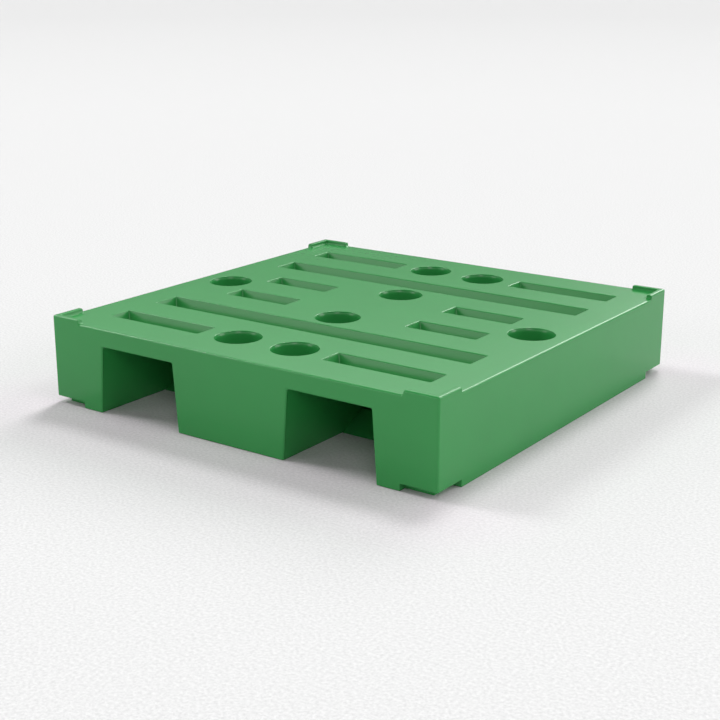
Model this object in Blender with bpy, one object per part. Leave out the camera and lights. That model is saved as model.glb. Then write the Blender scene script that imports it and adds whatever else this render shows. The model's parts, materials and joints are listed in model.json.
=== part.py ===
"""Closed-deck plastic pallet, 1000 x 1000 x 200 mm, with two fork pockets that run front to back.

Two moulded shells are welded together around a frame of steel box tubes. The deck shell is the top
and the outer walls. The base shell is the three soles and the two fork pockets. The origin is on
the ground under the middle of the pallet, +Z is up, and the forks enter along Y. Metres.
"""

from math import cos, pi, radians, sin, tan

import bmesh
import bpy

# Overall size
WIDTH = 1.000
DEPTH = 1.000
DECK_Z = 0.190
HALF_X = WIDTH / 2
HALF_Y = DEPTH / 2
WALL = 0.0045
GAP = 0.0003
OVERSHOOT = 0.020
CORNER_RADIUS = 0.0045
CORNER_STEPS = 4
SMOOTH_ANGLE = radians(40)

# Raised corner lips, and the rebates under the corners that fit over the lips of the pallet below
LIP_ARM = 0.080
LIP_WIDTH = 0.0155
LIP_HEIGHT = 0.010
LIP_LEAN = 0.25
REBATE_ARM = 0.084
REBATE_WIDTH = 0.020
REBATE_HEIGHT = 0.015

# Fork pockets: the walls lean, so that a pocket is wider at the ground
POCKET_TOP = 0.150
BLOCK_HALF_TOP = 0.151
BLOCK_HALF_FOOT = 0.140
LEG_TOP = 0.149
LEG_FOOT = 0.138
POCKET_LEAN = (BLOCK_HALF_TOP - BLOCK_HALF_FOOT) / POCKET_TOP
POCKET_IN = BLOCK_HALF_FOOT
POCKET_OUT = HALF_X - LEG_FOOT

# Deck slots, in six rows: blind recesses that stand on the pocket roofs and stiffen the deck
ROW_PITCH = 0.150
SLOT_DRAFT = radians(17)
SLOT_WALL = 0.004
SLOT_FLOOR_Z = 0.159
SHORT_WIDTH = 0.058
LONG_WIDTH = 0.068
SLOT_OUTER_X = 0.420
SLOT_MID_X = 0.340
SLOT_INNER_X = 0.164

# Round holes with a tapered sleeve between the deck and the sole
HOLE_TOP_RADIUS = 0.0475
HOLE_FOOT_RADIUS = 0.0420
SLEEVE_WALL = 0.004
ROUND_STEPS = 40
HOLES = {
    "front_left": (-0.075, -0.375),
    "front_right": (0.075, -0.375),
    "centre_front": (0.0, -0.125),
    "centre_rear": (0.0, 0.125),
    "side_left": (-0.415, 0.0),
    "side_right": (0.415, 0.0),
    "rear_left": (-0.075, 0.375),
    "rear_right": (0.075, 0.375),
}

# Cross bars over the ground inside the pockets, with a ramp on each long side for truck wheels
BAR_HEIGHT = 0.040
BAR_RAMP = radians(30)
BAR_WIDTH = 0.200
BAR_WALL = 0.004
BAR_Y = 0.200

# Steel box tubes
TUBE = 0.030
TUBE_WALL = 0.002
DECK_TUBE_Y = 0.300
DECK_TUBE_HALF = 0.485
MID_TUBE_HALF = 0.350
DECK_TUBE_Z = POCKET_TOP + WALL + GAP + TUBE / 2
BASE_TUBE_Z = WALL + 2 * GAP + TUBE / 2
CAP_FLANGE = 0.003
CAP_DEPTH = 0.012
CAP_WALL = 0.002

# Locating ribs beside the tubes, moulded on the base shell
RIB_THICKNESS = 0.003
RIB_HEIGHT = 0.008
RIB_CLEARANCE = 0.0005
RIB_ROOT = 0.001
RIB_END = 0.020
ROOF_RIB_END = 0.004
TUBE_WAY_END = 0.015

# Drain plugs in the soles
PLUG_FLANGE_RADIUS = 0.012
PLUG_RADIUS = 0.008
PLUG_RECESS = 0.002
PLUG_LENGTH = 0.009
PLUG_BARB = 0.0010
PLUG_X = 0.432
PLUG_Y = 0.240


def clear_scene():
    for obj in list(bpy.data.objects):
        bpy.data.objects.remove(obj, do_unlink=True)


def add_object(name, bm):
    bmesh.ops.recalc_face_normals(bm, faces=bm.faces)
    mesh = bpy.data.meshes.new(name)
    bm.to_mesh(mesh)
    bm.free()
    obj = bpy.data.objects.new(name, mesh)
    bpy.context.scene.collection.objects.link(obj)
    return obj


def add_cutter(name, bm):
    obj = add_object(name, bm)
    obj.hide_render = True
    obj.display_type = "WIRE"
    return obj


def boolean(obj, other, operation="DIFFERENCE"):
    modifier = obj.modifiers.new(other.name, "BOOLEAN")
    modifier.operation = operation
    modifier.object = other


def plastic(name, colour, roughness):
    return surface(name, colour, roughness, 0.0)


def surface(name, colour, roughness, metallic):
    material = bpy.data.materials.new(name)
    material.use_nodes = True
    shader = material.node_tree.nodes["Principled BSDF"]
    shader.inputs["Base Color"].default_value = (*colour, 1.0)
    shader.inputs["Roughness"].default_value = roughness
    shader.inputs["Metallic"].default_value = metallic
    return material


def loft(bm, loops, close_ends=True):
    """Joins loops of equal length with quads, and caps the first and the last."""
    rings = [[bm.verts.new(point) for point in loop] for loop in loops]
    count = len(rings[0])
    for low, high in zip(rings, rings[1:]):
        for i in range(count):
            j = (i + 1) % count
            bm.faces.new((low[i], low[j], high[j], high[i]))
    if close_ends:
        bm.faces.new(rings[0])
        bm.faces.new(rings[-1])
    return rings


def hollow_loft(bm, outer_ends, inner_ends):
    """An open tube: an outer and an inner skin, joined by a flat ring at each end."""
    outer = loft(bm, outer_ends, close_ends=False)
    inner = loft(bm, inner_ends, close_ends=False)
    count = len(outer[0])
    for end in (0, -1):
        for i in range(count):
            j = (i + 1) % count
            bm.faces.new((outer[end][i], outer[end][j], inner[end][j], inner[end][i]))


def box(bm, low, high):
    corners = [(low[0], low[1]), (high[0], low[1]), (high[0], high[1]), (low[0], high[1])]
    loft(bm, [[(x, y, z) for x, y in corners] for z in (low[2], high[2])])


def prism_z(bm, outline, z_low, z_high):
    loft(bm, [[(x, y, z) for x, y in outline] for z in (z_low, z_high)])


def prism_y(bm, outline, y_low, y_high):
    loft(bm, [[(x, y, z) for x, z in outline] for y in (y_low, y_high)])


def rounded_rectangle(half_x, half_y, radius, steps):
    points = []
    for quarter, (sx, sy) in enumerate(((1, 1), (-1, 1), (-1, -1), (1, -1))):
        for step in range(steps + 1):
            angle = (quarter + step / steps) * pi / 2
            points.append((
                sx * (half_x - radius) + radius * cos(angle),
                sy * (half_y - radius) + radius * sin(angle),
            ))
    return points


def mirrored(outline, sx, sy):
    return [(sx * x, sy * y) for x, y in outline]


def corner_l(arm, width):
    """Outline of an L along the outer faces of the corner at +X and +Y."""
    x, y = HALF_X + OVERSHOOT, HALF_Y + OVERSHOOT
    ax, ay = HALF_X - arm, HALF_Y - arm
    wx, wy = HALF_X - width, HALF_Y - width
    return [(x, ay), (x, y), (ax, y), (ax, wy), (wx, wy), (wx, ay)]


def corners():
    return ((1, 1), (-1, 1), (-1, -1), (1, -1))


def pocket_x(z, outer):
    """Distance of a pocket's wall from the middle plane, at a height."""
    return POCKET_OUT - POCKET_LEAN * z if outer else POCKET_IN + POCKET_LEAN * z


def pocket_outline(z_low, z_high, side):
    points = [(pocket_x(z_low, False), z_low), (pocket_x(z_low, True), z_low)]
    points += [(pocket_x(z_high, True), z_high), (pocket_x(z_high, False), z_high)]
    return [(side * x, z) for x, z in points]


def slots():
    """(x from, x to, y, width at the deck surface) of each slot."""
    found = []
    for row in range(6):
        y = (row - 2.5) * ROW_PITCH
        if row in (1, 4):
            found.append((-SLOT_OUTER_X, SLOT_OUTER_X, y, LONG_WIDTH))
            continue
        outer = SLOT_OUTER_X if row in (0, 5) else SLOT_MID_X
        found.append((-outer, -SLOT_INNER_X, y, SHORT_WIDTH))
        found.append((SLOT_INNER_X, outer, y, SHORT_WIDTH))
    return found


def slot_loop(slot, z, grow=0.0):
    """Corners of a slot's drafted outline at a height, moved outwards by grow."""
    x_low, x_high, y, width = slot
    inset = (DECK_Z - z) * tan(SLOT_DRAFT) - grow
    x_low, x_high = x_low + inset, x_high - inset
    half = width / 2 - inset
    return [(x_low, y - half, z), (x_high, y - half, z), (x_high, y + half, z), (x_low, y + half, z)]


def slot_wells():
    """The outside of every slot's walls, standing on the pocket roofs."""
    bm = bmesh.new()
    for slot in slots():
        heights = (POCKET_TOP + WALL + GAP, DECK_Z - WALL / 2)
        loft(bm, [slot_loop(slot, z, SLOT_WALL) for z in heights])
    return bm


def slot_voids():
    bm = bmesh.new()
    for slot in slots():
        loft(bm, [slot_loop(slot, z) for z in (SLOT_FLOOR_Z, DECK_Z + OVERSHOOT)])
    return bm


def round_cutter(bm, centre, profile):
    """A turned plug from (radius, z) pairs, lowest first."""
    rings = []
    for radius, z in profile:
        angles = [2 * pi * i / ROUND_STEPS for i in range(ROUND_STEPS)]
        rings.append([(centre[0] + radius * cos(a), centre[1] + radius * sin(a), z) for a in angles])
    loft(bm, rings)


def pocket_voids():
    bm = bmesh.new()
    for side in (-1, 1):
        prism_y(bm, pocket_outline(-OVERSHOOT, POCKET_TOP, side), -HALF_Y - OVERSHOOT, HALF_Y + OVERSHOOT)
    return bm


def rebates():
    bm = bmesh.new()
    for sx, sy in corners():
        prism_z(bm, mirrored(corner_l(REBATE_ARM, REBATE_WIDTH), sx, sy), -OVERSHOOT, REBATE_HEIGHT)
    return bm


def lip_clearance():
    """All the space above the deck that the four lips leave free."""
    bm = bmesh.new()
    x, y = HALF_X + OVERSHOOT, HALF_Y + OVERSHOOT
    loops = []
    for z, shift in ((DECK_Z, 0.0), (DECK_Z + LIP_HEIGHT + OVERSHOOT, LIP_LEAN * (LIP_HEIGHT + OVERSHOOT))):
        ax, ay = HALF_X - LIP_ARM + shift, HALF_Y - LIP_ARM + shift
        wx, wy = HALF_X - LIP_WIDTH + shift, HALF_Y - LIP_WIDTH + shift
        quarter = [(x, ay), (wx, ay), (wx, wy), (ax, wy), (ax, y)]
        outline = []
        for turn, (sx, sy) in enumerate(corners()):
            points = mirrored(quarter, sx, sy)
            outline += points if turn % 2 == 0 else points[::-1]
        loops.append([(px, py, z) for px, py in outline])
    loft(bm, loops)
    return bm


def deck_shell(material):
    bm = bmesh.new()
    outline = rounded_rectangle(HALF_X, HALF_Y, CORNER_RADIUS, CORNER_STEPS)
    prism_z(bm, outline, 0.0, DECK_Z + LIP_HEIGHT)
    shell = add_object("deck_shell", bm)

    bm = bmesh.new()
    x, y = HALF_X - WALL, HALF_Y - WALL
    box(bm, (-x, -y, -OVERSHOOT), (x, y, DECK_Z - WALL))
    cavity = add_cutter("cut_cavity", bm)
    boolean(cavity, add_cutter("cut_slot_wells", slot_wells()))

    holes = bmesh.new()
    for centre in HOLES.values():
        profile = ((HOLE_TOP_RADIUS, DECK_Z - 2 * WALL), (HOLE_TOP_RADIUS, DECK_Z + OVERSHOOT))
        round_cutter(holes, centre, profile)

    boolean(shell, add_cutter("cut_above_deck", lip_clearance()))
    boolean(shell, cavity)
    boolean(shell, add_cutter("cut_slots", slot_voids()))
    boolean(shell, add_cutter("cut_deck_holes", holes))
    boolean(shell, add_cutter("cut_pockets", pocket_voids()))
    boolean(shell, bpy.data.objects["cut_rebates"])
    shell.data.materials.append(material)


def base_outline():
    """The folded sheet of the base shell, seen along Y: first the underside, then the inside."""
    end = HALF_X - WALL - GAP
    slant = WALL * (1 + POCKET_LEAN**2) ** 0.5
    roof = POCKET_TOP + WALL
    half_under = [(pocket_x(0, False), 0), (pocket_x(POCKET_TOP, False), POCKET_TOP)]
    half_under += [(pocket_x(POCKET_TOP, True), POCKET_TOP), (pocket_x(0, True), 0), (end, 0)]
    half_inside = [(end, WALL), (pocket_x(WALL, True) + slant, WALL), (pocket_x(roof, True) + slant, roof)]
    half_inside += [(pocket_x(roof, False) - slant, roof), (pocket_x(WALL, False) - slant, WALL)]
    left_under = [(-x, z) for x, z in reversed(half_under)]
    left_inside = [(-x, z) for x, z in reversed(half_inside)]
    return left_under + half_under + half_inside + left_inside


def rebate_backs():
    """Thickenings behind the rebates, so that the sole keeps its wall round each of them."""
    bm = bmesh.new()
    x, y = HALF_X - WALL - GAP, HALF_Y - WALL - GAP
    for sx, sy in corners():
        ax, ay = HALF_X - REBATE_ARM - WALL, HALF_Y - REBATE_ARM - WALL
        wx, wy = HALF_X - REBATE_WIDTH - WALL, HALF_Y - REBATE_WIDTH - WALL
        outline = [(x, ay), (x, y), (ax, y), (ax, wy), (wx, wy), (wx, ay)]
        prism_z(bm, mirrored(outline, sx, sy), WALL / 2, REBATE_HEIGHT + WALL)
    return bm


def rib_pair(bm, x_low, x_high, tube_y, z_foot):
    near = TUBE / 2 + RIB_CLEARANCE
    for sign in (-1, 1):
        y_low, y_high = sorted((tube_y + sign * near, tube_y + sign * (near + RIB_THICKNESS)))
        box(bm, (x_low, y_low, z_foot - RIB_ROOT), (x_high, y_high, z_foot + RIB_HEIGHT))


def tube_ribs():
    bm = bmesh.new()
    roof_low, roof_high = BLOCK_HALF_TOP + ROOF_RIB_END, HALF_X - LEG_TOP - ROOF_RIB_END
    for tube_y in (-DECK_TUBE_Y, 0.0, DECK_TUBE_Y):
        rib_pair(bm, roof_low, roof_high, tube_y, POCKET_TOP + WALL)
        rib_pair(bm, -roof_high, -roof_low, tube_y, POCKET_TOP + WALL)
    block_end = BLOCK_HALF_FOOT - RIB_END
    leg_low, leg_high = POCKET_OUT + RIB_END, HALF_X - RIB_END
    for tube_y in (-BAR_Y, BAR_Y):
        rib_pair(bm, -block_end, block_end, tube_y, WALL)
        rib_pair(bm, leg_low, leg_high, tube_y, WALL)
        rib_pair(bm, -leg_high, -leg_low, tube_y, WALL)
    return bm


def plug_places():
    return {"left": (-PLUG_X, -PLUG_Y), "centre": (0.0, 0.0), "right": (PLUG_X, -PLUG_Y)}


def base_shell(material):
    bm = bmesh.new()
    prism_y(bm, base_outline(), -HALF_Y + WALL + GAP, HALF_Y - WALL - GAP)
    shell = add_object("base_shell", bm)

    tube_ways = bmesh.new()
    reach = POCKET_OUT + TUBE_WAY_END
    for y in (-BAR_Y, BAR_Y):
        low = (-reach, y - TUBE / 2 - GAP, BASE_TUBE_Z - TUBE / 2 - GAP / 2)
        box(tube_ways, low, (reach, y + TUBE / 2 + GAP, BASE_TUBE_Z + TUBE / 2 + GAP))

    sole_holes = bmesh.new()
    for centre in HOLES.values():
        round_cutter(sole_holes, centre, ((HOLE_FOOT_RADIUS, -OVERSHOOT), (HOLE_FOOT_RADIUS, 2 * WALL)))
    for centre in plug_places().values():
        profile = (
            (PLUG_FLANGE_RADIUS, -OVERSHOOT),
            (PLUG_FLANGE_RADIUS, PLUG_RECESS),
            (PLUG_RADIUS, PLUG_RECESS),
            (PLUG_RADIUS, 2 * WALL),
        )
        round_cutter(sole_holes, centre, profile)

    boolean(shell, add_cutter("add_rebate_backs", rebate_backs()), "UNION")
    boolean(shell, add_cutter("add_tube_ribs", tube_ribs()), "UNION")
    boolean(shell, add_cutter("cut_tube_ways", tube_ways))
    boolean(shell, add_cutter("cut_sole_holes", sole_holes))
    boolean(shell, bpy.data.objects["cut_rebates"])
    shell.data.materials.append(material)


def bar_loop(inset):
    """Cross bar outline in (y, z): a low trapezoid with a ramp on each long side."""
    slope = tan(BAR_RAMP)
    top = BAR_HEIGHT - inset
    # Moving the ramp inwards by inset shifts it along Y by inset / sin(ramp).
    toe = BAR_WIDTH / 2 - inset / sin(BAR_RAMP)
    return [
        (-toe + inset / slope, inset),
        (toe - inset / slope, inset),
        (toe - top / slope, top),
        (-toe + top / slope, top),
    ]


def cross_bars(material):
    for side, side_name in ((-1, "left"), (1, "right")):
        for end, end_name in ((-1, "front"), (1, "rear")):
            bm = bmesh.new()
            ends = []
            for inset in (0.0, BAR_WALL):
                loops = []
                for outer in (False, True):
                    gap = -GAP if outer else GAP
                    loop = bar_loop(inset)
                    loops.append([(side * (pocket_x(z, outer) + gap), end * BAR_Y + y, z) for y, z in loop])
                ends.append(loops)
            hollow_loft(bm, *ends)
            add_object(f"{side_name}_{end_name}_cross_bar", bm).data.materials.append(material)


def sleeves(material):
    for place, (x, y) in HOLES.items():
        bm = bmesh.new()
        z_low, z_high = WALL + GAP, DECK_Z - WALL - GAP
        profile = [
            (HOLE_FOOT_RADIUS, z_low),
            (HOLE_FOOT_RADIUS + SLEEVE_WALL, z_low),
            (HOLE_TOP_RADIUS + SLEEVE_WALL, z_high),
            (HOLE_TOP_RADIUS, z_high),
        ]
        verts = [bm.verts.new((radius, 0, z)) for radius, z in profile]
        edges = [bm.edges.new((verts[i], verts[(i + 1) % 4])) for i in range(4)]
        turn = {"cent": (0, 0, 0), "axis": (0, 0, 1), "angle": 2 * pi, "steps": ROUND_STEPS}
        bmesh.ops.spin(bm, geom=verts + edges, use_merge=True, **turn)
        obj = add_object(f"{place}_hole_sleeve", bm)
        obj.location = (x, y, 0)
        obj.data.shade_smooth()
        obj.data.set_sharp_from_angle(angle=SMOOTH_ANGLE)
        obj.data.materials.append(material)


def square(half, x):
    return [(x, -half, -half), (x, half, -half), (x, half, half), (x, -half, half)]


def tube_places():
    """Name, half length, y and z of each steel tube."""
    return (
        ("front_deck_tube", DECK_TUBE_HALF, -DECK_TUBE_Y, DECK_TUBE_Z),
        ("middle_deck_tube", MID_TUBE_HALF, 0.0, DECK_TUBE_Z),
        ("rear_deck_tube", DECK_TUBE_HALF, DECK_TUBE_Y, DECK_TUBE_Z),
        ("front_base_tube", DECK_TUBE_HALF, -BAR_Y, BASE_TUBE_Z),
        ("rear_base_tube", DECK_TUBE_HALF, BAR_Y, BASE_TUBE_Z),
    )


def steel_tubes(material):
    for name, half_length, y, z in tube_places():
        bm = bmesh.new()
        outer = [square(TUBE / 2, x) for x in (-half_length, half_length)]
        inner = [square(TUBE / 2 - TUBE_WALL, x) for x in (-half_length, half_length)]
        hollow_loft(bm, outer, inner)
        obj = add_object(name, bm)
        obj.location = (0, y, z)
        obj.data.materials.append(material)


def tube_caps(material):
    """A plug with a flange in each end of each tube, hollow towards the tube."""
    plug = TUBE / 2 - TUBE_WALL - GAP
    for name, half_length, y, z in tube_places():
        for side, side_name in ((-1, "left"), (1, "right")):
            bm = bmesh.new()
            stations = (
                (TUBE / 2, GAP + CAP_FLANGE),
                (TUBE / 2, GAP),
                (plug, GAP),
                (plug, -CAP_DEPTH),
                (plug - CAP_WALL, -CAP_DEPTH),
                (plug - CAP_WALL, 0.0),
            )
            loft(bm, [square(half, x) for half, x in stations])
            obj = add_object(f"{name}_{side_name}_cap", bm)
            obj.location = (side * half_length, y, z)
            obj.rotation_euler = (0, 0, 0 if side > 0 else pi)
            obj.data.materials.append(material)


def drain_plugs(material):
    for place, (x, y) in plug_places().items():
        bm = bmesh.new()
        stem = PLUG_RADIUS - GAP
        profile = (
            (PLUG_FLANGE_RADIUS - GAP, GAP),
            (PLUG_FLANGE_RADIUS - GAP, PLUG_RECESS - GAP),
            (stem, PLUG_RECESS - GAP),
            (stem, WALL + GAP),
            (stem + PLUG_BARB, WALL + GAP * 2),
            (stem - PLUG_BARB, PLUG_LENGTH),
        )
        round_cutter(bm, (0, 0), profile)
        obj = add_object(f"{place}_drain_plug", bm)
        obj.location = (x, y, 0)
        obj.data.shade_smooth()
        obj.data.set_sharp_from_angle(angle=SMOOTH_ANGLE)
        obj.data.materials.append(material)


def main():
    clear_scene()
    add_cutter("cut_rebates", rebates())
    deck_shell(plastic("deck_green", (0.050, 0.340, 0.095), 0.42))
    base_shell(plastic("base_green", (0.045, 0.310, 0.085), 0.45))
    cross_bars(plastic("bar_green", (0.045, 0.310, 0.085), 0.45))
    sleeves(plastic("sleeve_green", (0.040, 0.300, 0.080), 0.42))
    steel_tubes(surface("galvanised_steel", (0.550, 0.560, 0.570), 0.38, 1.0))
    tube_caps(plastic("cap_black", (0.020, 0.020, 0.022), 0.50))
    drain_plugs(plastic("plug_green", (0.035, 0.250, 0.070), 0.40))


main()
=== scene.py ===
"""Looks of the closed-deck plastic pallet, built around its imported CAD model.

The two mouldings, the hole sleeves, the cross bars and the drain plugs are rebuilt here with the
rounded edges of a moulded part. The steel tubes and their caps keep their CAD shape. Every surface
has a procedural material. Metres, +Z up, the front of the pallet at -Y, the origin on the ground.
"""

import json
from math import atan, cos, hypot, pi, radians, sin, tan

import bmesh
import bpy
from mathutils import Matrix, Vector
from mathutils.geometry import delaunay_2d_cdt


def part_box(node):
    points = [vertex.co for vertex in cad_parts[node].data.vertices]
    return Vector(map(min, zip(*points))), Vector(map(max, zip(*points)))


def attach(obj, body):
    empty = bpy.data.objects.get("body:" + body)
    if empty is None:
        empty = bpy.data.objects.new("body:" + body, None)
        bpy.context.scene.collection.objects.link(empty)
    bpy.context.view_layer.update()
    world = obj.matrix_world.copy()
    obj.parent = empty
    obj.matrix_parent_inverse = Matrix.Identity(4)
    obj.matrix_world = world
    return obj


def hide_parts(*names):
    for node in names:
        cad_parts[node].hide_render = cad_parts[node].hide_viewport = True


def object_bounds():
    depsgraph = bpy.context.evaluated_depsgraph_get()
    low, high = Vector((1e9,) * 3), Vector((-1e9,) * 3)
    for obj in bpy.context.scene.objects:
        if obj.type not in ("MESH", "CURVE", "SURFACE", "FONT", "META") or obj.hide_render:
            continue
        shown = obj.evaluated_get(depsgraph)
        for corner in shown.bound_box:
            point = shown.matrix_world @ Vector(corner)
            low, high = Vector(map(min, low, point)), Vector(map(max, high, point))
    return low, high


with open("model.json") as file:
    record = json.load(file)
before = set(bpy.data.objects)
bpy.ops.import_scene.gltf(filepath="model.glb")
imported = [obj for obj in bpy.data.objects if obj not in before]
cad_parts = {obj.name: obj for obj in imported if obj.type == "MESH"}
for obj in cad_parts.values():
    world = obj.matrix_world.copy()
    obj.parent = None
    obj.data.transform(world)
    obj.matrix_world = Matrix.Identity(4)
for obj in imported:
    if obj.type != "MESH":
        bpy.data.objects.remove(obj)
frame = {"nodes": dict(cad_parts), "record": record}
CAD_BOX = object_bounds()
HIGH = CAD_BOX[1]

# The deck and its lips
HALF_X = HIGH.x
HALF_Y = HIGH.y
DECK_Z = next(m["pos_m"][2] for m in frame["record"]["mounts"] if m["name"] == "deck_top")
LIP_HEIGHT = HIGH.z - DECK_Z
LIP_ARM = 0.083
LIP_TOP_WIDTH = 0.0105
LIP_TOP_ROUND = 0.0022
LIP_FILLET = 0.0050
LIP_DRAFT = radians(6)
FRAME_INNER = 0.024
FRAME_CORNER_GROWTH = 0.006
WALL = 0.0045
EDGE_RADIUS = 0.0040
EDGE_CORNER_SHARE = 0.2
CORNER_RADIUS = 0.0045
CORNER_SLACK = 0.0002
CORNER_STEPS = 8
ARC_STEPS = 6
BEVEL_STEPS = 4
FLATTEST_ROUNDED_ANGLE = radians(20)
SPLIT_Z = DECK_Z - 0.010

# Fork pockets, read from the ends of a cross bar, which fills a pocket from wall to wall
POCKET_TOP = next(m["pos_m"][2] for m in frame["record"]["mounts"] if m["name"] == "left_fork_face")
BAR_LOW, BAR_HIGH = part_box("right_front_cross_bar")
BAR_GAP = 0.0003
POCKET_IN = BAR_LOW.x - BAR_GAP
POCKET_OUT = BAR_HIGH.x + BAR_GAP
POCKET_FLARE = 0.011
POCKET_LEAN = POCKET_FLARE / POCKET_TOP
MOUTH_RADIUS = 0.0045
SOLE_RADIUS = 0.0030
ROOF_FILLET = 0.006

# Rebates under the corners
REBATE_ARM = 0.084
REBATE_WIDTH = 0.020
REBATE_HEIGHT = 0.015
REBATE_RADIUS = 0.0020
REBATE_FILLET = 0.0020

# Deck slots, measured at the deck surface, in rows from front to rear
ROW_COUNT = 6
ROW_PITCH = 0.150
END_ROWS = (0, 5)
LONG_ROWS = (1, 4)
SLOT_DRAFT = radians(17)
SLOT_FLOOR_Z = 0.159
SLOT_CORNER = 0.0028
SLOT_CORNER_SHRINK = 0.12
SLOT_CORNER_STEPS = 6
SLOT_FLOOR_FILLET = 0.0012
SHORT_WIDTH = 0.058
LONG_WIDTH = 0.068
SLOT_OUTER_X = 0.420
SLOT_MID_X = 0.340
SLOT_INNER_X = 0.164
RIM_RADIUS = 0.0025

# Round holes, read from their sleeves, with mouths that open a little wider
SLEEVE_WALL = 0.004
HOLE_STEPS = 72
HOLE_FOOT_RADIUS = 0.042
HOLE_FOOT_ROUND = 0.003
HOLE_RIM_RADIUS = 0.0014
HOLE_RIM_WIDER = 0.0030
HOLE_EDGE_SLACK = 0.0006
HOLE_FACE_SLACK = 0.0004
LINER_TOP_Z = DECK_Z - 0.9 * HOLE_RIM_RADIUS
SLEEVES = sorted(name for name in frame["nodes"] if name.endswith("_hole_sleeve"))

# Drain plugs
PLUGS = sorted(name for name in frame["nodes"] if name.endswith("_drain_plug"))
PLUG_RECESS = 0.002
PLUG_SEAT_RADIUS = 0.012
PLUG_STEPS = 48
PLUG_FLANGE_THICKNESS = 0.0014
PLUG_FLANGE_ROUND = 0.0009
PLUG_STEM_INSET = 0.004
PLUG_TIP_HEIGHT = 0.003
PLUG_TIP_INSET = 0.001
PLUG_SMOOTH_ANGLE = radians(40)
COIN_SLOT_HALF = (0.0072, 0.0010)
COIN_SLOT_CORNER = 0.0009
COIN_SLOT_DEPTH = 0.0008
COIN_SLOT_OVERSHOOT = 0.002

# Cross bars
BAR_RAMP = radians(30)
BAR_TOP_RADIUS = 0.006
BAR_TOE_RADIUS = 0.0008

# Camera
CAMERA_PLACE = (1.7253, -2.4753, 0.9701)
CAMERA_TURN = radians(35.317)
CAMERA_DOWN = radians(16.772)
CAMERA_LENS = 68.39
CAMERA_SENSOR = 36

# Plastic
GREEN = (0.0315, 0.280, 0.065)
PLASTIC_IOR = 1.43

# Belt of sky: (degrees over the horizon, share of its strength)
BELT = ((0, 0.04), (16, 0.10), (21, 1.0), (32, 0.0))
BELT_STRENGTH = 1.88

# Soft lamps: (azimuth from +X towards +Y, elevation, spread, strength), with the angles in degrees
SUNS = {
    "front_left": (233, 13, 22, 0.28),
    "front_right": (310, 32, 22, 0.36),
    "right": (35, 12, 30, 0.66),
    "rear_right": (58, 30, 30, 0.45),
    "rear": (102, 30, 26, 0.98),
    "left": (190, 44, 16, 1.00),
    "over_right": (0, 56, 22, 0.36),
    "over_rear": (106, 57, 16, 1.24),
    "top": (0, 88, 30, 0.42),
}

# Floor
FLOOR_HALF = 100.0
FLOOR_SHADE = 0.685
FLOOR_GRAIN = 170.0
FLOOR_MOTTLE = 0.11
# Painted counter-tint near the pallet: the floor colour is made less green there to cancel the green
# bounce light, fading out over the reach
FLOOR_BOUNCE_CANCEL_TINT = (1.035, 0.965, 1.02)
FLOOR_NEAR_REACH = 0.25
FLOOR_FAR_FROM = 6.0
FLOOR_FAR_TO = 18.0
FLOOR_FAR_SHARE = 0.925

# How far a cutter reaches past the body, the distance within which two points are one, and the deck's fill
OVERSHOOT = 0.020
WELD = 0.00002
FILL_TOLERANCE = 1e-7


def middle(node):
    low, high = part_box(node)
    return (low + high) / 2


SLEEVE_LOW, SLEEVE_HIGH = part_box(SLEEVES[0])
HOLE_TOP_RADIUS = (SLEEVE_HIGH.x - SLEEVE_LOW.x) / 2 - SLEEVE_WALL + HOLE_RIM_WIDER
HOLE_CENTRES = {name: middle(name) for name in SLEEVES}


# ---------------------------------------------------------------- mesh helpers


def new_object(name, bm):
    mesh = bpy.data.meshes.new(name)
    bm.to_mesh(mesh)
    bm.free()
    obj = bpy.data.objects.new(name, mesh)
    bpy.context.scene.collection.objects.link(obj)
    return obj


def drop(*objects):
    for obj in objects:
        mesh = obj.data
        bpy.data.objects.remove(obj)
        bpy.data.meshes.remove(mesh)


def loft(bm, loops, close_ends=True):
    """Joins loops of equal length with quads, and caps the first and the last."""
    rings = [[bm.verts.new(point) for point in loop] for loop in loops]
    count = len(rings[0])
    for low, high in zip(rings, rings[1:]):
        for i in range(count):
            j = (i + 1) % count
            bm.faces.new((low[i], low[j], high[j], high[i]))
    if close_ends:
        bm.faces.new(rings[0])
        bm.faces.new(rings[-1])
    return rings


def rounded_loop(half_x, half_y, radius, steps, centre=(0.0, 0.0), marks=()):
    """Rounded rectangle, anticlockwise from +X. Each side has extra points at marks from its middle."""
    points = []
    for quarter, (sx, sy) in enumerate(((1, 1), (-1, 1), (-1, -1), (1, -1))):
        for step in range(steps + 1):
            angle = (quarter + step / steps) * pi / 2
            points.append((
                centre[0] + sx * (half_x - radius) + radius * cos(angle),
                centre[1] + sy * (half_y - radius) + radius * sin(angle),
            ))
        for mark in sorted([*marks, *(-m for m in marks)], reverse=True):
            if quarter == 0:
                points.append((mark, half_y))
            elif quarter == 1:
                points.append((-half_x, mark))
            elif quarter == 2:
                points.append((-mark, -half_y))
            else:
                points.append((half_x, -mark))
    return points


def circle(centre, radius, steps):
    angles = [2 * pi * i / steps for i in range(steps)]
    return [(centre[0] + radius * cos(a), centre[1] + radius * sin(a)) for a in angles]


def at_height(loop, z):
    return [(x, y, z) for x, y in loop]


# ---------------------------------------------------------------- outlines


def slots():
    """(x from, x to, y, width) of each slot."""
    found = []
    for row in range(ROW_COUNT):
        y = (row - (ROW_COUNT - 1) / 2) * ROW_PITCH
        if row in LONG_ROWS:
            found.append((-SLOT_OUTER_X, SLOT_OUTER_X, y, LONG_WIDTH))
            continue
        outer = SLOT_OUTER_X if row in END_ROWS else SLOT_MID_X
        found.append((-outer, -SLOT_INNER_X, y, SHORT_WIDTH))
        found.append((SLOT_INNER_X, outer, y, SHORT_WIDTH))
    return found


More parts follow.
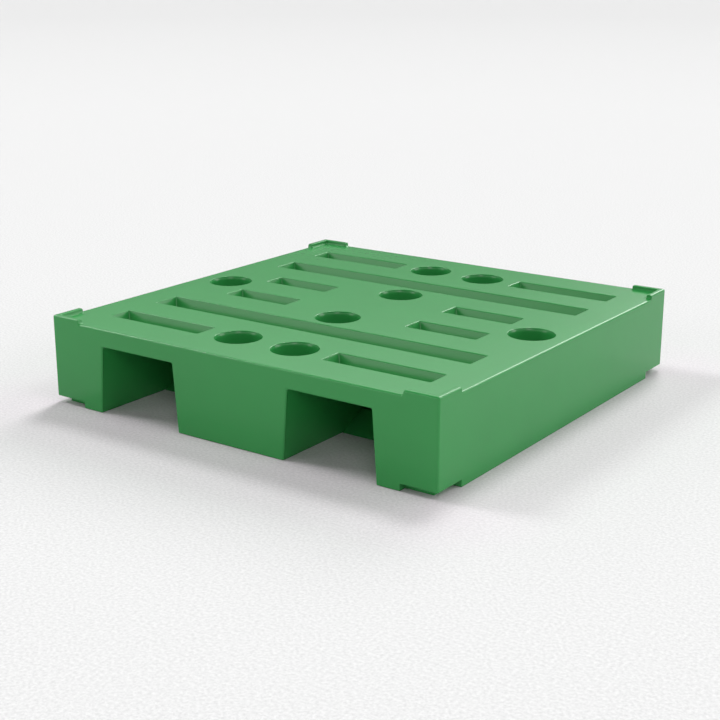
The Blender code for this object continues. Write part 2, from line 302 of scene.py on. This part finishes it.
def slot_loop(slot, outwards):
    """A slot's outline, moved outwards from its edge at the deck surface."""
    x_low, x_high, y, width = slot
    half_x = (x_high - x_low) / 2 + outwards
    centre = ((x_low + x_high) / 2, y)
    radius = SLOT_CORNER + (outwards if outwards > 0 else outwards * SLOT_CORNER_SHRINK)
    return rounded_loop(half_x, width / 2 + outwards, radius, SLOT_CORNER_STEPS, centre)


def slot_inset(z):
    return (DECK_Z - z) * tan(SLOT_DRAFT)


HOLE_TAPER = atan((HOLE_TOP_RADIUS - HOLE_FOOT_RADIUS) / DECK_Z)


def hole_radius(z):
    return HOLE_TOP_RADIUS - (DECK_Z - z) * tan(HOLE_TAPER)


def rim_profile(wall_lean, radius):
    """(distance outwards, height over the deck) along a rounded rim over a wall with that lean."""
    sweep = pi / 2 - wall_lean
    start = radius * tan(sweep / 2)
    angles = [sweep * i / ARC_STEPS for i in range(ARC_STEPS + 1)]
    return [(start - radius * sin(a), radius * (cos(a) - 1)) for a in angles]


def pocket_x(z, outer):
    return POCKET_OUT - POCKET_LEAN * z if outer else POCKET_IN + POCKET_LEAN * z


# ---------------------------------------------------------------- lower body, by Boolean and bevel


def cutter(name, build):
    bm = bmesh.new()
    build(bm)
    bmesh.ops.recalc_face_normals(bm, faces=bm.faces)
    return new_object(name, bm)


def pockets(bm):
    y = HALF_Y + OVERSHOOT
    for side in (-1, 1):
        corners = [(pocket_x(z, outer), z) for z, outer in ((-OVERSHOOT, False), (-OVERSHOOT, True))]
        corners += [(pocket_x(POCKET_TOP, outer), POCKET_TOP) for outer in (True, False)]
        loft(bm, [[(side * px, py, pz) for px, pz in corners] for py in (-y, y)])


def rebates(bm):
    x, y = HALF_X + OVERSHOOT, HALF_Y + OVERSHOOT
    ax, ay = HALF_X - REBATE_ARM, HALF_Y - REBATE_ARM
    wx, wy = HALF_X - REBATE_WIDTH, HALF_Y - REBATE_WIDTH
    outline = [(x, ay), (x, y), (ax, y), (ax, wy), (wx, wy), (wx, ay)]
    for sx in (-1, 1):
        for sy in (-1, 1):
            loop = [(sx * px, sy * py) for px, py in outline]
            loft(bm, [at_height(loop, z) for z in (-OVERSHOOT, REBATE_HEIGHT)])


def slot_voids(bm):
    for slot in slots():
        loft(bm, [at_height(slot_loop(slot, -slot_inset(z)), z) for z in (SLOT_FLOOR_Z, DECK_Z)])


def hole_voids(bm):
    for centre in HOLE_CENTRES.values():
        heights = (-OVERSHOOT, DECK_Z)
        loft(bm, [at_height(circle(centre, hole_radius(z), HOLE_STEPS), z) for z in heights])


def plug_seats(bm):
    for name in PLUGS:
        loop = circle(middle(name), PLUG_SEAT_RADIUS, PLUG_STEPS)
        loft(bm, [at_height(loop, z) for z in (-OVERSHOOT, PLUG_RECESS)])


def near(a, b):
    return abs(a - b) < WELD


def on_outer_face(p):
    """True on the vertical outside: a flat face or a rounded corner."""
    if on_flat_side(p):
        return True
    cx, cy = abs(p.x) - (HALF_X - CORNER_RADIUS), abs(p.y) - (HALF_Y - CORNER_RADIUS)
    return cx > 0 and cy > 0 and hypot(cx, cy) > CORNER_RADIUS - CORNER_SLACK


def on_flat_side(p):
    return near(abs(p.x), HALF_X) or near(abs(p.y), HALF_Y)


def on_pocket_wall(p):
    return any(near(abs(p.x), pocket_x(p.z, outer)) for outer in (False, True)) and p.z < POCKET_TOP + WELD


def in_rebate(p):
    x, y = abs(p.x), abs(p.y)
    ax, ay = HALF_X - REBATE_ARM - WELD, HALF_Y - REBATE_ARM - WELD
    wx, wy = HALF_X - REBATE_WIDTH - WELD, HALF_Y - REBATE_WIDTH - WELD
    return p.z < REBATE_HEIGHT + WELD and x > ax and y > ay and (x > wx or y > wy)


def hole_at(p, slack=HOLE_EDGE_SLACK):
    """The sleeve of the hole on whose wall a point lies, or None."""
    for name, centre in HOLE_CENTRES.items():
        if abs(hypot(p.x - centre.x, p.y - centre.y) - hole_radius(p.z)) < slack:
            return name
    return None


def edge_round(edge):
    """The radius to which an edge of the lower body is rounded, or 0."""
    a, b = (v.co for v in edge.verts)
    low, both = min(a.z, b.z), (a, b)
    ground = all(near(p.z, 0) for p in both)
    if edge.calc_face_angle(0) < FLATTEST_ROUNDED_ANGLE:
        return 0.0
    if all(near(p.z, SLOT_FLOOR_Z) for p in both):
        return SLOT_FLOOR_FILLET
    if low > SLOT_FLOOR_Z - WELD:
        return 0.0
    if ground and all(hole_at(p) for p in both):
        return HOLE_FOOT_ROUND
    if all(in_rebate(p) for p in both):
        concave = edge.calc_face_angle_signed(0) < 0
        return REBATE_FILLET if concave else REBATE_RADIUS
    if all(near(p.z, POCKET_TOP) and on_pocket_wall(p) for p in both) and near(a.x, b.x):
        return ROOF_FILLET
    if all(on_outer_face(p) for p in both):
        if ground:
            return SOLE_RADIUS
        if all(on_pocket_wall(p) or near(p.z, POCKET_TOP) for p in both):
            return MOUTH_RADIUS
        return 0.0
    if ground and all(on_pocket_wall(p) for p in both):
        return SOLE_RADIUS
    return 0.0


def evaluated_copy(obj):
    graph = bpy.context.evaluated_depsgraph_get()
    return bpy.data.meshes.new_from_object(obj.evaluated_get(graph))


def lower_body():
    """The moulding below the split height, as a bmesh without its top face."""
    bm = bmesh.new()
    outline = rounded_loop(HALF_X, HALF_Y, CORNER_RADIUS, CORNER_STEPS)
    loft(bm, [at_height(outline, z) for z in (0.0, SPLIT_Z)])
    bmesh.ops.recalc_face_normals(bm, faces=bm.faces)
    body = new_object("lower_body", bm)
    builders = (pockets, rebates, slot_voids, hole_voids, plug_seats)
    cutters = [cutter(build.__name__, build) for build in builders]
    for other in cutters:
        modifier = body.modifiers.new(other.name, "BOOLEAN")
        modifier.operation = "DIFFERENCE"
        modifier.object = other
    cut = evaluated_copy(body)
    drop(body, *cutters)

    bm = bmesh.new()
    bm.from_mesh(cut)
    bpy.data.meshes.remove(cut)
    bmesh.ops.remove_doubles(bm, verts=bm.verts, dist=WELD)
    bmesh.ops.dissolve_degenerate(bm, edges=bm.edges, dist=WELD)
    widest = ROOF_FILLET
    weight = bm.edges.layers.float.new("bevel_weight_edge")
    for edge in bm.edges:
        edge[weight] = edge_round(edge) / widest
    sharp = new_object("sharp_body", bm)
    bevel = sharp.modifiers.new("round", "BEVEL")
    bevel.limit_method = "WEIGHT"
    bevel.offset_type = "OFFSET"
    bevel.width = widest
    bevel.segments = BEVEL_STEPS
    bevel.use_clamp_overlap = False
    bevel.loop_slide = False
    rounded = evaluated_copy(sharp)
    drop(sharp)

    bm = bmesh.new()
    bm.from_mesh(rounded)
    bpy.data.meshes.remove(rounded)
    top = [f for f in bm.faces if all(near(v.co.z, SPLIT_Z) for v in f.verts)]
    bmesh.ops.delete(bm, geom=top, context="FACES")
    # The Boolean leaves points in the middle of some rim edges, where its top face was divided.
    spare = [v for v in bm.verts if len(v.link_edges) == 2]
    bmesh.ops.dissolve_verts(bm, verts=spare)
    return bm


# ---------------------------------------------------------------- deck, lips and rims, by formula


def lip_profile():
    """(run, share of the lip's height) down a lip's side: rounded top, drafted wall and fillet."""
    sweep = pi / 2 - LIP_DRAFT
    angles = [sweep * i / ARC_STEPS for i in range(ARC_STEPS + 1)]
    down = [(LIP_TOP_ROUND * sin(a), LIP_HEIGHT - LIP_TOP_ROUND * (1 - cos(a))) for a in angles]
    up = [(-LIP_FILLET * sin(a), LIP_FILLET * (1 - cos(a))) for a in angles]
    wall_run = (down[-1][1] - up[-1][1]) * tan(LIP_DRAFT)
    shift = down[-1][0] + wall_run - up[-1][0]
    points = down + [(shift + run, height) for run, height in reversed(up)]
    return [(run, height / LIP_HEIGHT) for run, height in points]


LIP_PROFILE = lip_profile()
LIP_RUN = LIP_PROFILE[-1][0]


def lip_share(run):
    """Share of the lip's height at a distance from where its rounded top begins."""
    if run <= 0:
        return 1.0
    for (near_run, near_share), (far_run, far_share) in zip(LIP_PROFILE, LIP_PROFILE[1:]):
        if run <= far_run:
            return near_share + (far_share - near_share) * (run - near_run) / (far_run - near_run)
    return 0.0


def lip_marks():
    """Distances from the middle of a side at which the ends of the lips bend."""
    top = HALF_X - LIP_ARM + LIP_RUN
    return [top - run for run, _ in LIP_PROFILE]


def lip_rise(x, y, inwards):
    """Height of the surface over the deck, at a distance inwards from the outer face."""
    along = min(abs(x), abs(y)) if max(abs(x), abs(y)) > HALF_X - FRAME_INNER - WELD else 0.0
    end = lip_share(HALF_X - LIP_ARM + LIP_RUN - along)
    return LIP_HEIGHT * end * lip_share(inwards - LIP_TOP_WIDTH)


def frame_corner_radius(inwards):
    """Corner radius of the deck's outline: it shrinks over the rounded edge and grows on the flat."""
    if inwards < EDGE_RADIUS:
        return CORNER_RADIUS * (1 - (1 - EDGE_CORNER_SHARE) * inwards / EDGE_RADIUS)
    grown = (inwards - EDGE_RADIUS) / (FRAME_INNER - EDGE_RADIUS)
    return CORNER_RADIUS * EDGE_CORNER_SHARE + grown * FRAME_CORNER_GROWTH


def frame_stations():
    """(distance inwards, drop of the rounded edge) from the wall over the edge to the flat deck."""
    stations = []
    for i in range(ARC_STEPS + 1):
        a = pi / 2 * i / ARC_STEPS
        stations.append((EDGE_RADIUS * (1 - cos(a)), EDGE_RADIUS * (sin(a) - 1)))
    stations += [(LIP_TOP_WIDTH + run, 0.0) for run, _ in LIP_PROFILE]
    stations.append((FRAME_INNER, 0.0))
    return stations


def frame_strip(bm):
    """The outer edge of the deck with the four lips. Returns its inner loop, on the flat deck."""
    marks = lip_marks()
    loops = [at_height(rounded_loop(HALF_X, HALF_Y, CORNER_RADIUS, CORNER_STEPS, marks=marks), SPLIT_Z)]
    for inwards, lowered in frame_stations():
        flat = rounded_loop(
            HALF_X - inwards, HALF_Y - inwards, frame_corner_radius(inwards), CORNER_STEPS, marks=marks
        )
        loops.append([(x, y, DECK_Z + lowered + lip_rise(x, y, inwards)) for x, y in flat])
    loft(bm, loops, close_ends=False)
    return loops[-1]


def rim_strips(bm):
    """The rounded rims and upper walls of slots and holes. Returns their outer loops, on the flat deck."""
    found = []
    slot_profile = rim_profile(SLOT_DRAFT, RIM_RADIUS)
    slot_profile.append((-slot_inset(SPLIT_Z), SPLIT_Z - DECK_Z))
    for slot in slots():
        loops = [at_height(slot_loop(slot, out), DECK_Z + down) for out, down in slot_profile]
        loft(bm, loops, close_ends=False)
        found.append(loops[0])
    hole_profile = rim_profile(HOLE_TAPER, HOLE_RIM_RADIUS)
    hole_profile.append((hole_radius(SPLIT_Z) - HOLE_TOP_RADIUS, SPLIT_Z - DECK_Z))
    for centre in HOLE_CENTRES.values():
        loops = []
        for out, down in hole_profile:
            loops.append(at_height(circle(centre, HOLE_TOP_RADIUS + out, HOLE_STEPS), DECK_Z + down))
        loft(bm, loops, close_ends=False)
        found.append(loops[0])
    return found


def inside(point, loop):
    """True if a point lies inside a loop, by counting the loop's edges to the right of it."""
    x, y = point
    hit = False
    for (x1, y1, _), (x2, y2, _) in zip(loop, loop[1:] + loop[:1]):
        if (y1 > y) != (y2 > y) and x < (x2 - x1) * (y - y1) / (y2 - y1) + x1:
            hit = not hit
    return hit


def flat_deck(bm, outer, rims):
    """Fills the deck between its outer loop and the rims with flat triangles."""
    points, edges = [], []
    for loop in [outer] + rims:
        first = len(points)
        points += [Vector(p[:2]) for p in loop]
        edges += [(first + i, first + (i + 1) % len(loop)) for i in range(len(loop))]
    made, _, faces, *_ = delaunay_2d_cdt(points, edges, [], 0, FILL_TOLERANCE)
    verts = [bm.verts.new((p.x, p.y, DECK_Z)) for p in made]
    for face in faces:
        centre = sum((made[i] for i in face), Vector((0, 0))) / len(face)
        if inside(centre, outer) and not any(inside(centre, rim) for rim in rims):
            bm.faces.new([verts[i] for i in face])


def split_side(bm, edge, places):
    """Splits an edge along a side of the pallet at the places that lie on it."""
    along = 0 if near(edge.verts[0].co.y, edge.verts[1].co.y) else 1
    start, far = sorted(edge.verts, key=lambda v: v.co[along])
    for place in sorted(places):
        if not start.co[along] + WELD < place < far.co[along] - WELD:
            continue
        fraction = (place - start.co[along]) / edge.calc_length()
        _, made = bmesh.utils.edge_split(edge, start, fraction)
        edge = next(e for e in made.link_edges if far in e.verts)
        start = made


def skin():
    """The whole outside of the pallet's body, as one closed surface."""
    bm = lower_body()
    marks = lip_marks()
    places = marks + [-m for m in marks]
    sides = [e for e in bm.edges if e.is_boundary and all(on_flat_side(v.co) for v in e.verts)]
    for edge in sides:
        split_side(bm, edge, places)
    outer = frame_strip(bm)
    rims = rim_strips(bm)
    flat_deck(bm, outer, rims)
    bmesh.ops.remove_doubles(bm, verts=bm.verts, dist=WELD)
    bmesh.ops.recalc_face_normals(bm, faces=bm.faces)
    return bm


# ---------------------------------------------------------------- splitting the skin into mouldings


def owner(face):
    """The moulding a face of the skin belongs to."""
    centre = face.calc_center_median()
    sleeve = hole_at(centre, slack=HOLE_FACE_SLACK)
    if sleeve and HOLE_FOOT_ROUND < centre.z < LINER_TOP_Z:
        return sleeve
    wall = WALL + WELD
    within = abs(centre.x) < HALF_X - wall and abs(centre.y) < HALF_Y - wall
    if within and centre.z < POCKET_TOP + WALL:
        return "base_shell"
    return "deck_shell"


def mouldings(materials):
    """The deck moulding, the base moulding and the liner of each hole, cut from one skin."""
    whole = skin()
    whole.faces.index_update()
    owners = {f.index: owner(f) for f in whole.faces}
    for node in sorted(set(owners.values())):
        bm = whole.copy()
        bm.faces.ensure_lookup_table()
        other = [bm.faces[i] for i, name in owners.items() if name != node]
        bmesh.ops.delete(bm, geom=other, context="FACES")
        if node == "deck_shell":
            name, slot, wall = "deck_moulding", "deck_plastic", WALL
        elif node == "base_shell":
            name, slot, wall = "base_moulding", "base_plastic", WALL
        else:
            name, slot, wall = node.replace("sleeve", "liner"), "sleeve_plastic", SLEEVE_WALL
        obj = new_object(name, bm)
        thicken(obj, wall)
        finish_piece(obj, slot, materials, node)
    whole.free()


def thicken(obj, wall):
    """Gives an open skin its wall, towards the inside and never below the ground, and clean shading."""
    obj.data.shade_smooth()
    solid = obj.modifiers.new("wall", "SOLIDIFY")
    solid.thickness = wall
    solid.offset = -1
    solid.use_even_offset = True
    solid.use_rim = True
    shape = evaluated_copy(obj)
    obj.modifiers.clear()
    for vertex in shape.vertices:
        vertex.co.z = max(vertex.co.z, 0.0)
    obj.data = shape


def finish_piece(obj, slot, materials, node):
    """Shades a new piece, attaches it to the CAD body, gives it its finish and hides the CAD node that it
    stands for.
    """
    weighted = obj.modifiers.new("weighted", "WEIGHTED_NORMAL")
    weighted.keep_sharp = True
    obj.data.materials.clear()
    obj.data.materials.append(materials[slot])
    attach(obj, "root")
    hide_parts(node)


# ---------------------------------------------------------------- cross bars and drain plugs


def bar_outline():
    """(y, z) of a cross bar: a low trapezoid with a ramp on each long side."""
    half = (BAR_HIGH.y - BAR_LOW.y) / 2
    top = half - BAR_HIGH.z / tan(BAR_RAMP)
    return [(-half, 0.0), (half, 0.0), (top, BAR_HIGH.z), (-top, BAR_HIGH.z)]


def cross_bars(materials):
    for node in sorted(name for name in frame["nodes"] if name.endswith("_cross_bar")):
        place = middle(node)
        side = 1 if place.x > 0 else -1
        bm = bmesh.new()
        loops = []
        for outer in (False, True):
            loops.append([(side * pocket_x(z, outer), place.y + y, z) for y, z in bar_outline()])
        rings = loft(bm, loops)
        weight = bm.edges.layers.float.new("bevel_weight_edge")
        for corner, radius in enumerate((BAR_TOE_RADIUS,) * 2 + (BAR_TOP_RADIUS,) * 2):
            edge = bm.edges.get((rings[0][corner], rings[1][corner]))
            edge[weight] = radius / BAR_TOP_RADIUS
        bmesh.ops.recalc_face_normals(bm, faces=bm.faces)
        obj = new_object(node.replace("cross_bar", "ramp_bar"), bm)
        obj.data.shade_smooth()
        bevel = obj.modifiers.new("round", "BEVEL")
        bevel.limit_method = "WEIGHT"
        bevel.width = BAR_TOP_RADIUS
        bevel.segments = ARC_STEPS
        finish_piece(obj, "bar_plastic", materials, node)


def drain_plugs(materials):
    """A round flange with a rounded edge, a coin slot across it, and its stem."""
    for node in PLUGS:
        low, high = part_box(node)
        place = middle(node)
        flange = (high.x - low.x) / 2
        stem = flange - PLUG_STEM_INSET
        face = flange - PLUG_FLANGE_ROUND
        profile = [(face, low.z)]
        for i in range(ARC_STEPS + 1):
            a = pi / 2 * i / ARC_STEPS
            profile.append((face + PLUG_FLANGE_ROUND * sin(a), low.z + PLUG_FLANGE_ROUND * (1 - cos(a))))
        shoulder = low.z + PLUG_FLANGE_THICKNESS
        profile += [(flange, shoulder), (stem, shoulder)]
        profile += [(stem, high.z - PLUG_TIP_HEIGHT), (stem - PLUG_TIP_INSET, high.z)]
        bm = bmesh.new()
        loft(bm, [at_height(circle(place, radius, PLUG_STEPS), z) for radius, z in profile])
        bmesh.ops.recalc_face_normals(bm, faces=bm.faces)
        obj = new_object(node.replace("drain_plug", "sole_plug"), bm)
        slot_bm = bmesh.new()
        coin = rounded_loop(*COIN_SLOT_HALF, COIN_SLOT_CORNER, ARC_STEPS, (place.x, place.y))
        loft(slot_bm, [at_height(coin, low.z + rise) for rise in (-COIN_SLOT_OVERSHOOT, COIN_SLOT_DEPTH)])
        bmesh.ops.recalc_face_normals(slot_bm, faces=slot_bm.faces)
        coin_slot = new_object("coin_slot", slot_bm)
        cut = obj.modifiers.new("slot", "BOOLEAN")
        cut.object = coin_slot
        shape = evaluated_copy(obj)
        obj.modifiers.clear()
        drop(coin_slot)
        obj.data = shape
        obj.data.shade_smooth()
        obj.data.set_sharp_from_angle(angle=PLUG_SMOOTH_ANGLE)
        finish_piece(obj, "plug_plastic", materials, node)


# ---------------------------------------------------------------- materials


class Nodes:
    """Short names for the nodes of one material."""

    def __init__(self, name):
        self.material = bpy.data.materials.new(name)
        self.material.use_nodes = True
        self.tree = self.material.node_tree
        self.shader = self.tree.nodes["Principled BSDF"]
        self.place = self.add("ShaderNodeTexCoord").outputs["Object"]

    def add(self, kind, **settings):
        node = self.tree.nodes.new(kind)
        for key, value in settings.items():
            setattr(node, key, value)
        return node

    def link(self, output, target):
        self.tree.links.new(output, target)

    def noise(self, scale, detail=2.0, roughness=0.5, stretch=None):
        place = self.place
        if stretch:
            mapping = self.add("ShaderNodeMapping")
            mapping.inputs["Scale"].default_value = stretch
            self.link(place, mapping.inputs["Vector"])
            place = mapping.outputs["Vector"]
        node = self.add("ShaderNodeTexNoise")
        self.link(place, node.inputs["Vector"])
        node.inputs["Scale"].default_value = scale
        node.inputs["Detail"].default_value = detail
        node.inputs["Roughness"].default_value = roughness
        return node.outputs["Fac"]

    def remap(self, value, low, high, out_low, out_high):
        node = self.add("ShaderNodeMapRange")
        self.link(value, node.inputs["Value"])
        limits = {"From Min": low, "From Max": high, "To Min": out_low, "To Max": out_high}
        for key, number in limits.items():
            node.inputs[key].default_value = number
        return node.outputs["Result"]

    def math(self, operation, first, second):
        node = self.add("ShaderNodeMath", operation=operation)
        for socket, value in zip(node.inputs, (first, second)):
            if isinstance(value, (int, float)):
                socket.default_value = value
            else:
                self.link(value, socket)
        return node.outputs["Value"]

    def mix(self, factor, first, second):
        node = self.add("ShaderNodeMix", data_type="RGBA")
        self.link(factor, node.inputs["Factor"])
        for socket, value in zip((node.inputs["A"], node.inputs["B"]), (first, second)):
            if isinstance(value, tuple):
                socket.default_value = (*value, 1.0)
            else:
                self.link(value, socket)
        return node.outputs["Result"]

    def bump(self, height, distance, below=None):
        node = self.add("ShaderNodeBump")
        node.inputs["Distance"].default_value = distance
        self.link(height, node.inputs["Height"])
        if below:
            self.link(below, node.inputs["Normal"])
        return node.outputs["Normal"]


def tinted(colour, factor):
    return tuple(channel * factor for channel in colour)


def moulded_plastic(name, colour, roughness):
    """Satin polyethylene: a fine moulded grain, slow waves of the wall and slightly uneven pigment."""
    n = Nodes(name)
    cloud = n.noise(7.0, 3.0, 0.55)
    speck = n.noise(420.0, 2.0, 0.6)
    grain = n.noise(1500.0, 3.0, 0.55)
    wave = n.noise(14.0, 2.0, 0.4)
    scuff = n.noise(90.0, 4.0, 0.65)
    base = n.mix(n.remap(cloud, 0.35, 0.65, 0.0, 1.0), tinted(colour, 0.98), tinted(colour, 1.02))
    base = n.mix(n.remap(speck, 0.55, 0.75, 0.0, 0.10), base, tinted(colour, 1.20))
    n.link(base, n.shader.inputs["Base Color"])
    rough = n.remap(scuff, 0.3, 0.7, roughness - 0.012, roughness + 0.012)
    n.link(n.math("ADD", rough, n.remap(grain, 0.3, 0.7, -0.008, 0.008)), n.shader.inputs["Roughness"])
    n.shader.inputs["IOR"].default_value = PLASTIC_IOR
    waves = n.bump(wave, 0.0001)
    n.link(n.bump(grain, 0.000004, waves), n.shader.inputs["Normal"])
    return n.material


def galvanised_steel():
    """Zinc spangle: crystals that differ in brightness and roughness, with drawn lines along the tube."""
    n = Nodes("galvanised_steel")
    crystal = n.add("ShaderNodeTexVoronoi")
    n.link(n.place, crystal.inputs["Vector"])
    crystal.inputs["Scale"].default_value = 140.0
    tone = n.add("ShaderNodeSeparateColor")
    n.link(crystal.outputs["Color"], tone.inputs["Color"])
    drawn = n.noise(60.0, 3.0, 0.6, stretch=(0.04, 14.0, 14.0))
    base = n.mix(tone.outputs["Red"], (0.50, 0.51, 0.53), (0.66, 0.67, 0.68))
    base = n.mix(n.remap(drawn, 0.4, 0.8, 0.0, 0.5), base, (0.44, 0.45, 0.46))
    n.link(base, n.shader.inputs["Base Color"])
    n.link(n.remap(tone.outputs["Green"], 0.0, 1.0, 0.30, 0.46), n.shader.inputs["Roughness"])
    n.shader.inputs["Metallic"].default_value = 1.0
    n.link(n.bump(drawn, 0.00004), n.shader.inputs["Normal"])
    return n.material


def black_plastic():
    """Dull black plastic with a fine grain and cloudy gloss."""
    n = Nodes("cap_plastic")
    cloud = n.noise(60.0, 3.0)
    grain = n.noise(2200.0, 2.0)
    n.link(n.mix(cloud, (0.016, 0.016, 0.018), (0.028, 0.028, 0.030)), n.shader.inputs["Base Color"])
    n.link(n.remap(cloud, 0.3, 0.7, 0.44, 0.56), n.shader.inputs["Roughness"])
    n.link(n.bump(grain, 0.00003), n.shader.inputs["Normal"])
    return n.material


def build_materials():
    return {
        "deck_plastic": moulded_plastic("deck_plastic", GREEN, 0.22),
        "base_plastic": moulded_plastic("base_plastic", GREEN, 0.22),
        "bar_plastic": moulded_plastic("bar_plastic", GREEN, 0.24),
        "sleeve_plastic": moulded_plastic("sleeve_plastic", GREEN, 0.22),
        "plug_plastic": moulded_plastic("plug_plastic", tinted(GREEN, 0.8), 0.24),
        "galvanised_steel": galvanised_steel(),
        "cap_plastic": black_plastic(),
    }


def dress_cad_nodes(materials):
    """The steel tubes and their caps keep their CAD shape and take their finish here."""
    for name, obj in frame["nodes"].items():
        if name.endswith(("_tube", "_cap")):
            slot = "galvanised_steel" if name.endswith("_tube") else "cap_plastic"
            obj.data.materials.clear()
            obj.data.materials.append(materials[slot])


# ---------------------------------------------------------------- studio


def camera():
    """A three-quarter view from the front right, a little above the deck."""
    data = bpy.data.cameras.new("camera")
    obj = bpy.data.objects.new("camera", data)
    bpy.context.scene.collection.objects.link(obj)
    data.sensor_width = CAMERA_SENSOR
    data.lens = CAMERA_LENS
    data.clip_end = 2 * FLOOR_HALF
    obj.location = CAMERA_PLACE
    obj.rotation_euler = (pi / 2 - CAMERA_DOWN, 0, CAMERA_TURN)
    bpy.context.scene.camera = obj


def floor():
    """A pale floor with a fine mottled surface, a little darker in the distance.

    Close to the pallet a faint counter-tint is painted into its colour, less green and a little redder and
    bluer, which cancels the green bounce light thrown onto it.
    """
    bm = bmesh.new()
    bmesh.ops.create_grid(bm, x_segments=1, y_segments=1, size=FLOOR_HALF)
    obj = new_object("floor", bm)
    n = Nodes("floor")
    fine = n.remap(n.noise(FLOOR_GRAIN, 3.0, 0.65), 0.3, 0.7, 0.0, 1.0)
    extremes = (FLOOR_SHADE * (1 - FLOOR_MOTTLE), FLOOR_SHADE * (1 + FLOOR_MOTTLE))
    far = n.add("ShaderNodeVectorMath", operation="LENGTH")
    n.link(n.place, far.inputs[0])
    tone = n.mix(fine, *[(shade,) * 3 for shade in extremes])
    # painted counter-tint: near the pallet the floor colour is less green, cancelling the green bounce
    # light there
    bounce_cancelled_tone = n.mix(fine, *[tinted(FLOOR_BOUNCE_CANCEL_TINT, shade) for shade in extremes])
    parts = n.add("ShaderNodeSeparateXYZ")
    n.link(n.place, parts.inputs[0])
    beyond = []
    for output, half in zip(parts.outputs, (HALF_X, HALF_Y)):
        past = n.math("MAXIMUM", n.math("SUBTRACT", n.math("ABSOLUTE", output, 0.0), half), 0.0)
        beyond.append(n.math("POWER", past, 2.0))
    distance = n.math("POWER", n.math("ADD", *beyond), 0.5)
    tone = n.mix(n.remap(distance, 0.0, FLOOR_NEAR_REACH, 0.0, 1.0), bounce_cancelled_tone, tone)
    distant = n.remap(far.outputs["Value"], FLOOR_FAR_FROM, FLOOR_FAR_TO, 0.0, 1.0)
    tone = n.mix(distant, tone, (FLOOR_SHADE * FLOOR_FAR_SHARE,) * 3)
    n.link(tone, n.shader.inputs["Base Color"])
    n.shader.inputs["Roughness"].default_value = 0.9
    n.shader.inputs["Specular IOR Level"].default_value = 0.0
    obj.data.materials.append(n.material)


def sun(name, azimuth, elevation, spread, strength):
    """A soft lamp far away. The azimuth is counted from +X towards +Y."""
    light = bpy.data.lights.new(name, "SUN")
    light.energy = strength
    light.angle = radians(spread)
    obj = bpy.data.objects.new(name, light)
    bpy.context.scene.collection.objects.link(obj)
    obj.rotation_euler = (pi / 2 - radians(elevation), 0, pi / 2 + radians(azimuth))


def light_belt():
    """A bright belt of sky low round the studio, dark above it and dim below."""
    world = bpy.data.worlds.new("studio")
    bpy.context.scene.world = world
    world.use_nodes = True
    tree = world.node_tree
    place = tree.nodes.new("ShaderNodeTexCoord")
    split = tree.nodes.new("ShaderNodeSeparateXYZ")
    height = tree.nodes.new("ShaderNodeMath")
    height.operation = "ARCSINE"
    ramp = tree.nodes.new("ShaderNodeValToRGB")
    climb = tree.nodes.new("ShaderNodeMath")
    climb.operation = "DIVIDE"
    climb.inputs[1].default_value = pi / 2
    tree.links.new(place.outputs["Generated"], split.inputs[0])
    tree.links.new(split.outputs["Z"], height.inputs[0])
    tree.links.new(height.outputs[0], climb.inputs[0])
    tree.links.new(climb.outputs[0], ramp.inputs["Fac"])
    tree.links.new(ramp.outputs["Color"], tree.nodes["Background"].inputs["Color"])
    stops = ramp.color_ramp.elements
    while len(stops) < len(BELT):
        stops.new(1.0)
    for stop, (elevation, share) in zip(stops, BELT):
        stop.position = elevation / 90
        stop.color = (share, share, share, 1)
    tree.nodes["Background"].inputs["Strength"].default_value = BELT_STRENGTH


def studio():
    floor()
    light_belt()
    for name, settings in SUNS.items():
        sun(name, *settings)
    bpy.context.scene.view_settings.view_transform = "Standard"


def main():
    camera()
    materials = build_materials()
    mouldings(materials)
    cross_bars(materials)
    drain_plugs(materials)
    dress_cad_nodes(materials)
    studio()


main()
